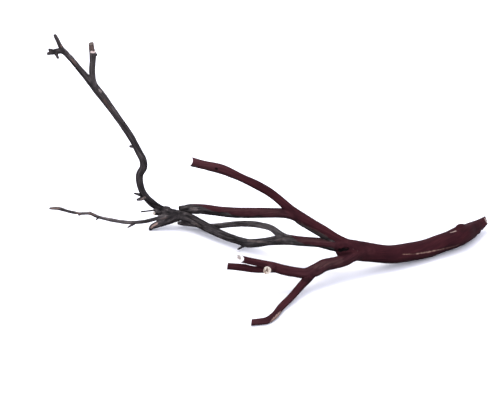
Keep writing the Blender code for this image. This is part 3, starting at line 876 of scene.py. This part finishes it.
class Nodes:
    """A short way to write a material's node tree."""

    def __init__(self, name):
        self.material = bpy.data.materials.new(name)
        self.material.use_nodes = True
        self.tree = self.material.node_tree
        self.shader = self.tree.nodes["Principled BSDF"]

    def add(self, kind, inputs=(), **settings):
        node = self.tree.nodes.new(kind)
        for name, value in settings.items():
            setattr(node, name, value)
        for key, value in dict(inputs).items():
            self.feed(node.inputs[key], value)
        return node

    def feed(self, socket, value):
        if isinstance(value, bpy.types.NodeSocket):
            self.tree.links.new(value, socket)
        else:
            socket.default_value = value

    def read(self, name, output="Fac"):
        return self.add("ShaderNodeAttribute", attribute_name=name).outputs[output]

    def math(self, operation, one, two=0.0, three=0.0):
        node = self.add("ShaderNodeMath", {0: one, 1: two, 2: three}, operation=operation)
        return node.outputs[0]

    def scaled(self, vector, x, y, z):
        node = self.add("ShaderNodeVectorMath", {0: vector, 1: (x, y, z)}, operation="MULTIPLY")
        return node.outputs[0]

    def noise(self, vector, scale, detail=2.0, rough=0.5):
        inputs = {"Vector": vector, "Scale": scale, "Detail": detail, "Roughness": rough}
        return self.add("ShaderNodeTexNoise", inputs).outputs["Fac"]

    def ramp(self, value, stops):
        node = self.add("ShaderNodeValToRGB", {"Fac": value})
        ramp = node.color_ramp
        while len(ramp.elements) < len(stops):
            ramp.elements.new(1)
        for element, (place, colour) in zip(ramp.elements, stops):
            element.position = place
            element.color = (*colour, 1)
        return node.outputs["Color"]

    def map(self, value, low, high, new_low=0.0, new_high=1.0, smooth=True):
        inputs = {"Value": value, "From Min": low, "From Max": high, "To Min": new_low, "To Max": new_high}
        kind = "SMOOTHSTEP" if smooth else "LINEAR"
        return self.add("ShaderNodeMapRange", inputs, interpolation_type=kind).outputs["Result"]

    def mix(self, share, one, two):
        node = self.add("ShaderNodeMix", data_type="RGBA")
        self.feed(node.inputs[0], share)
        for place, colour in ((6, one), (7, two)):
            self.feed(node.inputs[place], colour if isinstance(colour, bpy.types.NodeSocket) else (*colour, 1))
        return node.outputs[2]

    def bump(self, height, distance):
        node = self.add("ShaderNodeBump", {"Height": height, "Distance": distance, "Strength": 1.0})
        return node.outputs["Normal"]


def bark_and_dead_wood():
    """Dull red bark and grey dead wood, streaked along the grain and rubbed pale in places, with painted light on
    upward faces and painted shade on downward faces.
    """
    n = Nodes("bark_and_dead_wood")
    grain = n.read("grain", "Vector")
    grey, rubbed, clear = (n.read(name) for name in ("grey", "rubbed", "clear"))
    pale, tan, dark = (n.read(name) for name in ("pale", "tan", "dark"))
    place = n.add("ShaderNodeTexCoord").outputs["Object"]
    broad = n.noise(n.scaled(grain, 22, 300, 300), 1, 3, 0.55)
    fine = n.noise(n.scaled(grain, 60, 1100, 1100), 1, 3, 0.6)
    blotch = n.noise(place, 60, 3, 0.55)
    cloud = n.noise(place, 16, 2, 0.5)
    streaks = n.math("ADD", n.math("MULTIPLY", broad, 0.55), n.math("MULTIPLY", fine, 0.45))
    streaks = n.add("ShaderNodeMix", {0: clear, 2: blotch, 3: streaks}).outputs[0]
    red_value = n.math("ADD", n.math("MULTIPLY", streaks, 0.6), n.math("MULTIPLY", cloud, 0.4))
    red = n.ramp(
        red_value,
        [
            (0.33, (0.0115, 0.0038, 0.0053)),
            (0.5, (0.0265, 0.0069, 0.009)),
            (0.67, (0.0465, 0.0125, 0.0145)),
        ],
    )
    grey_value = n.math("ADD", n.math("MULTIPLY", streaks, 0.8), n.math("MULTIPLY", blotch, 0.2))
    dead = n.ramp(
        grey_value,
        [
            (0.36, (0.0055, 0.005, 0.0055)),
            (0.46, (0.0165, 0.0145, 0.015)),
            (0.54, (0.0325, 0.0277, 0.0277)),
            (0.66, (0.115, 0.098, 0.092)),
        ],
    )
    crevice = n.noise(n.scaled(grain, 13, 330, 330), 1, 2, 0.5)
    beside = n.map(n.math("ABSOLUTE", n.math("SUBTRACT", crevice, 0.5)), 0.004, 0.03)
    dead = n.mix(beside, (0.005, 0.0042, 0.0042), dead)
    edge = n.math("ADD", grey, n.math("MULTIPLY", n.math("SUBTRACT", fine, 0.5), 0.7))
    is_grey = n.map(edge, 0.35, 0.65)
    colour = n.mix(is_grey, red, dead)
    dust = n.mix(is_grey, (0.12, 0.055, 0.06), (0.2, 0.175, 0.165))
    colour = n.mix(n.math("MULTIPLY", rubbed, n.map(streaks, 0.35, 0.65, 0.12, 0.38)), colour, dust)
    # The pale, tan and dark values carry painted light and painted shade as well as real marks.
    tan_tone = n.mix(fine, (0.1, 0.052, 0.04), (0.3, 0.185, 0.14))
    colour = n.mix(n.math("MULTIPLY", tan, n.map(streaks, 0.3, 0.6, 0.45, 1.0)), colour, tan_tone)
    pale_tone = n.mix(blotch, (0.45, 0.31, 0.26), (0.88, 0.77, 0.7))
    colour = n.mix(pale, colour, pale_tone)
    colour = n.mix(dark, colour, (0.003, 0.0025, 0.0025))
    # Painted light and shade: faces that point up are made lighter and faces that point down darker, as if lit from
    # above.
    facing = n.add("ShaderNodeSeparateXYZ", {"Vector": n.add("ShaderNodeTexCoord").outputs["Normal"]}).outputs["Z"]
    painted_light_and_shade = n.map(facing, -0.85, 0.75, 0.42, 1.18)
    colour = n.add("ShaderNodeVectorMath", {0: colour, "Scale": painted_light_and_shade}, operation="SCALE").outputs[0]
    n.feed(n.shader.inputs["Base Color"], colour)
    polish = n.math("ADD", n.math("MULTIPLY", is_grey, 0.3), n.map(broad, 0.3, 0.7, 0.5, 0.62))
    n.feed(n.shader.inputs["Roughness"], polish)
    n.shader.inputs["Specular IOR Level"].default_value = 0.01
    relief = n.math("ADD", fine, n.math("MULTIPLY", n.noise(place, 900, 2, 0.5), 0.3))
    n.feed(n.shader.inputs["Normal"], n.bump(relief, 0.00025))
    return n.material


def end_grain(name, heart, sap, rim, ring_depth, fleck_share, stain):
    """A cut face: growth rings about the pith, and dark flecks near the middle."""
    n = Nodes(name)
    grain = n.read("grain", "Vector")
    place = n.add("ShaderNodeTexCoord").outputs["Object"]
    flat = n.scaled(grain, 0, 1, 1)
    waver = n.noise(place, 500, 2, 0.5)
    blotch = n.noise(place, 230, 3, 0.6)
    radius = n.add("ShaderNodeVectorMath", {0: flat}, operation="LENGTH").outputs["Value"]
    bent = n.math("MULTIPLY_ADD", waver, 0.0006, radius)
    rings = n.math("SINE", n.math("MULTIPLY", bent, 2 * math.pi / 0.0007))
    rings = n.map(rings, -1, 1, smooth=False)
    colour = n.mix(n.map(bent, 0, 0.005), heart, sap)
    colour = n.mix(n.math("MULTIPLY", rings, ring_depth), colour, rim)
    flecks = n.math("MULTIPLY", n.map(blotch, 0.58, 0.66), n.map(radius, 0.0045, 0.0015))
    colour = n.mix(n.math("MULTIPLY", flecks, fleck_share), colour, (0.06, 0.045, 0.035))
    colour = n.mix(n.read("tan"), colour, stain)
    colour = n.mix(n.read("dark"), colour, (0.012, 0.008, 0.007))
    n.feed(n.shader.inputs["Base Color"], colour)
    n.shader.inputs["Roughness"].default_value = 0.85
    n.shader.inputs["Specular IOR Level"].default_value = 0.02
    n.feed(n.shader.inputs["Normal"], n.bump(n.math("ADD", rings, blotch), 0.0002))
    return n.material


def floor_material():
    n = Nodes("pale_floor")
    place = n.add("ShaderNodeTexCoord").outputs["Object"]
    tone = n.noise(place, 2, 2, 0.5)
    n.feed(n.shader.inputs["Base Color"], n.mix(tone, (0.9, 0.9, 0.91), (0.93, 0.93, 0.93)))
    n.shader.inputs["Roughness"].default_value = 0.9
    n.shader.inputs["Specular IOR Level"].default_value = 0.1
    return n.material


def make_stage():
    """A pale floor under soft light, and the photograph's viewing angle."""
    mesh = bpy.data.meshes.new("floor")
    mesh.from_pydata([(-7, -6, 0), (6, -6, 0), (6, 9, 0), (-7, 9, 0)], [], [(0, 1, 2, 3)])
    mesh.materials.append(floor_material())
    floor = bpy.data.objects.new("floor", mesh)
    floor.location.z = -0.0002
    bpy.context.collection.objects.link(floor)
    world = bpy.data.worlds.new("studio")
    world.use_nodes = True
    sky = world.node_tree.nodes["Background"]
    sky.inputs["Color"].default_value = (0.86, 0.87, 1, 1)
    sky.inputs["Strength"].default_value = 1.7
    bpy.context.scene.world = world
    lamp = bpy.data.lights.new("soft_key", "SUN")
    lamp.energy = 1.6
    lamp.angle = math.radians(40)
    lamp.color = (1, 0.96, 0.9)
    key = bpy.data.objects.new("soft_key", lamp)
    key.rotation_euler = Vector((-0.2, 0.3, 1)).to_track_quat("Z", "Y").to_euler()
    bpy.context.collection.objects.link(key)
    lens = bpy.data.cameras.new("camera")
    lens.lens = 70
    lens.sensor_width = 36
    camera = bpy.data.objects.new("camera", lens)
    camera.location = (-0.3075, -1.4815, 0.7958)
    camera.rotation_euler = (math.radians(65), 0, 0)
    bpy.context.collection.objects.link(camera)
    bpy.context.scene.camera = camera
    bpy.context.scene.view_settings.view_transform = "Standard"


bark_and_dead_wood()
end_grain("fresh_end_grain", (0.42, 0.33, 0.26), (0.62, 0.56, 0.47), (0.36, 0.28, 0.2), 0.3, 0.6, (0.22, 0.13, 0.08))
end_grain("rubbed_end_grain", (0.6, 0.5, 0.47), (0.93, 0.9, 0.87), (0.8, 0.72, 0.68), 0.3, 0, (0.2, 0.165, 0.13))
end_grain("old_end_grain", (0.036, 0.011, 0.013), (0.056, 0.018, 0.02), (0.028, 0.009, 0.01), 0.5, 0.4, (0.1, 0.05, 0.04))
end_grain("broken_wood", (0.012, 0.0045, 0.005), (0.01, 0.0038, 0.0042), (0.02, 0.009, 0.009), 0.4, 0.6, (0.16, 0.08, 0.06))
end_grain("grey_end_grain", (0.09, 0.08, 0.07), (0.2, 0.175, 0.155), (0.1, 0.085, 0.07), 0.4, 0.3, (0.12, 0.08, 0.06))
runs = [Branch(*entry, PHASE_STEP * number) for number, entry in enumerate(BRANCHES)]
branch_piece = grown_wood(runs)
branch_piece.data.materials.append(bpy.data.materials["bark_and_dead_wood"])
finished_mesh(branch_piece, runs)
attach(branch_piece, "root")
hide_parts("driftwood")
make_stage()
